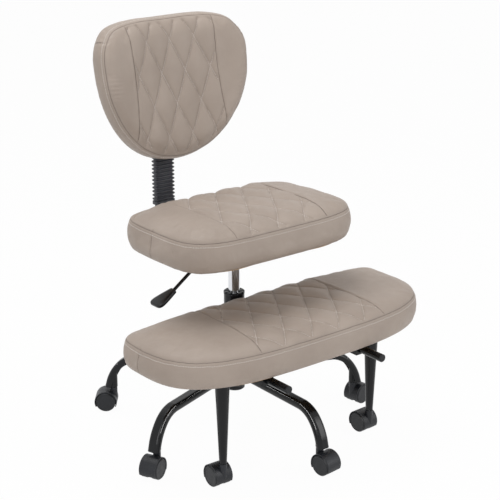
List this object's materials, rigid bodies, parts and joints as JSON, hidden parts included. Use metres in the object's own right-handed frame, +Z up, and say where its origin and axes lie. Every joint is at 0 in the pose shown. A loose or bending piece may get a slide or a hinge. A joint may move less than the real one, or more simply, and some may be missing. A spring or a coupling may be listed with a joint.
{
  "type": "kneeling chair",
  "caption": "Kneeling chair: padded seat on a gas lift with a star base on casters, a shield-shaped padded back on a ribbed bar and a wide padded footrest on rails and rolling legs.",
  "frame": {"origin": "on the floor plane under the axis of the lift column", "axes": "+Z up; the sitter faces -Y, so the back is towards +Y; the sitter's right is -X, where the height lever is"},
  "size_m": [0.766, 0.7196, 0.973],
  "materials": {
    "upholstery": "taupe faux leather, a smooth coated fabric over foam, with stitched channels",
    "black_steel": "glossy black powder coat",
    "black_plastic": "satin black moulded plastic",
    "caster_plastic": "satin dark grey moulded nylon",
    "caster_tread": "satin dark grey nylon wheels",
    "chrome": "polished",
    "bare_steel": "zinc plated",
    "plywood": "raw plywood"
  },
  "bodies": {
    "base": {"star_hub": "black_steel", "star_arm_1": "black_steel", "star_arm_2": "black_steel", "star_arm_3": "black_steel", "star_arm_4": "black_steel", "star_arm_5": "black_steel", "lift_outer_tube": "black_steel", "lift_guide_bush": "black_plastic", "lift_thrust_bearing": "bare_steel", "footrest_frame": "black_steel", "frame_screws": "bare_steel", "rail_left": "black_steel", "rail_right": "black_steel", "rail_plugs": "black_plastic"},
    "footrest": {"rail_sleeves": "black_steel", "leg_left": "black_steel", "leg_right": "black_steel", "footrest_board": "plywood", "footrest_cushion": "upholstery", "footrest_screws": "bare_steel"},
    "lift_rod": {"lift_piston_rod": "bare_steel"},
    "seat": {"lift_inner_cylinder": "chrome", "seat_plate": "black_steel", "seat_bolts": "bare_steel", "seat_board": "plywood", "seat_cushion": "upholstery", "lever_pivot": "bare_steel"},
    "release_button": {"lift_release_button": "bare_steel"},
    "lever": {"height_lever": "black_steel", "lever_paddle": "black_plastic"},
    "bar": {"back_bar": "black_steel", "bar_bellows": "black_plastic"},
    "backrest": {"back_bracket": "black_steel", "backrest_shell": "black_plastic", "backrest_screws": "bare_steel", "backrest_cushion": "upholstery"},
    "depth_knob": {"back_depth_knob": "black_plastic"},
    "height_knob": {"back_height_knob": "black_plastic"},
    "caster_1": {"caster_1_hood": "caster_plastic", "caster_1_pins": "bare_steel"},
    "wheels_1": {"caster_1_wheels": "caster_tread"},
    "caster_2": {"caster_2_hood": "caster_plastic", "caster_2_pins": "bare_steel"},
    "wheels_2": {"caster_2_wheels": "caster_tread"},
    "caster_3": {"caster_3_hood": "caster_plastic", "caster_3_pins": "bare_steel"},
    "wheels_3": {"caster_3_wheels": "caster_tread"},
    "caster_4": {"caster_4_hood": "caster_plastic", "caster_4_pins": "bare_steel"},
    "wheels_4": {"caster_4_wheels": "caster_tread"},
    "caster_5": {"caster_5_hood": "caster_plastic", "caster_5_pins": "bare_steel"},
    "wheels_5": {"caster_5_wheels": "caster_tread"},
    "caster_6": {"caster_6_hood": "caster_plastic", "caster_6_pins": "bare_steel"},
    "wheels_6": {"caster_6_wheels": "caster_tread"},
    "caster_7": {"caster_7_hood": "caster_plastic", "caster_7_pins": "bare_steel"},
    "wheels_7": {"caster_7_wheels": "caster_tread"}
  },
  "joints": [
    {"name": "footrest_slide", "type": "slide", "parent": "base", "child": "footrest", "axis": [0, -1, 0], "range_m": [0, 0.055]},
    {"name": "seat_swivel", "type": "hinge", "parent": "base", "child": "lift_rod", "pos_m": [0, 0, 0.3], "axis": [0, 0, -1], "continuous": true},
    {"name": "seat_lift", "type": "slide", "parent": "lift_rod", "child": "seat", "axis": [0, 0, 1], "range_m": [-0.075, 0.02]},
    {"name": "lever_lift", "type": "hinge", "parent": "seat", "child": "lever", "pos_m": [-0.028, 0, 0.4675], "axis": [0, 1, 0], "range_deg": [0, 8], "stiffness_Nm_per_rad": 1, "springref_deg": -5.73},
    {"name": "button_press", "type": "slide", "parent": "seat", "child": "release_button", "axis": [0, 0, -1], "range_m": [0, 0.0048]},
    {"name": "back_depth", "type": "slide", "parent": "seat", "child": "bar", "axis": [0, 1, 0], "range_m": [-0.03, 0.02]},
    {"name": "back_height", "type": "slide", "parent": "bar", "child": "backrest", "axis": [0, 0.1805, 0.9836], "range_m": [-0.02, 0.04]},
    {"name": "depth_knob_turn", "type": "hinge", "parent": "seat", "child": "depth_knob", "pos_m": [0, 0.096, 0.455], "axis": [0, 0, 1], "continuous": true},
    {"name": "height_knob_turn", "type": "hinge", "parent": "backrest", "child": "height_knob", "pos_m": [0, 0.33032, 0.75818], "axis": [0, 0.9836, -0.1805], "continuous": true},
    {"name": "caster_1_swivel", "type": "hinge", "parent": "base", "child": "caster_1", "pos_m": [0, -0.32, 0.08], "axis": [0, 0, 1], "continuous": true},
    {"name": "caster_1_roll", "type": "hinge", "parent": "caster_1", "child": "wheels_1", "pos_m": [0.00209, -0.33989, 0.025], "axis": [0.9945, 0.1045, 0], "continuous": true},
    {"name": "caster_2_swivel", "type": "hinge", "parent": "base", "child": "caster_2", "pos_m": [0.30434, -0.09889, 0.08], "axis": [0, 0, 1], "continuous": true},
    {"name": "caster_2_roll", "type": "hinge", "parent": "caster_2", "child": "wheels_2", "pos_m": [0.32414, -0.0961, 0.025], "axis": [-0.1392, 0.9903, 0], "continuous": true},
    {"name": "caster_3_swivel", "type": "hinge", "parent": "base", "child": "caster_3", "pos_m": [0.18809, 0.25888, 0.08], "axis": [0, 0, 1], "continuous": true},
    {"name": "caster_3_roll", "type": "hinge", "parent": "caster_3", "child": "wheels_3", "pos_m": [0.19809, 0.24157, 0.025], "axis": [0.866, 0.5, 0], "continuous": true},
    {"name": "caster_4_swivel", "type": "hinge", "parent": "base", "child": "caster_4", "pos_m": [-0.18809, 0.25888, 0.08], "axis": [0, 0, 1], "continuous": true},
    {"name": "caster_4_roll", "type": "hinge", "parent": "caster_4", "child": "wheels_4", "pos_m": [-0.20363, 0.27147, 0.025], "axis": [-0.6293, -0.7771, 0], "continuous": true},
    {"name": "caster_5_swivel", "type": "hinge", "parent": "base", "child": "caster_5", "pos_m": [-0.30434, -0.09889, 0.08], "axis": [0, 0, 1], "continuous": true},
    {"name": "caster_5_roll", "type": "hinge", "parent": "caster_5", "child": "wheels_5", "pos_m": [-0.32246, -0.10734, 0.025], "axis": [0.4226, -0.9063, 0], "continuous": true},
    {"name": "caster_6_swivel", "type": "hinge", "parent": "footrest", "child": "caster_6", "pos_m": [0.225, -0.246, 0.08], "axis": [0, 0, 1], "continuous": true},
    {"name": "caster_6_roll", "type": "hinge", "parent": "caster_6", "child": "wheels_6", "pos_m": [0.2243, -0.22601, 0.025], "axis": [-0.9994, -0.0349, 0], "continuous": true},
    {"name": "caster_7_swivel", "type": "hinge", "parent": "footrest", "child": "caster_7", "pos_m": [-0.225, -0.246, 0.08], "axis": [0, 0, 1], "continuous": true},
    {"name": "caster_7_roll", "type": "hinge", "parent": "caster_7", "child": "wheels_7", "pos_m": [-0.2243, -0.22601, 0.025], "axis": [-0.9994, 0.0349, 0], "continuous": true}
  ],
  "couplings": [
    {"joint": "button_press", "follows": "lever_lift", "m_per_rad": 0.032}
  ]
}
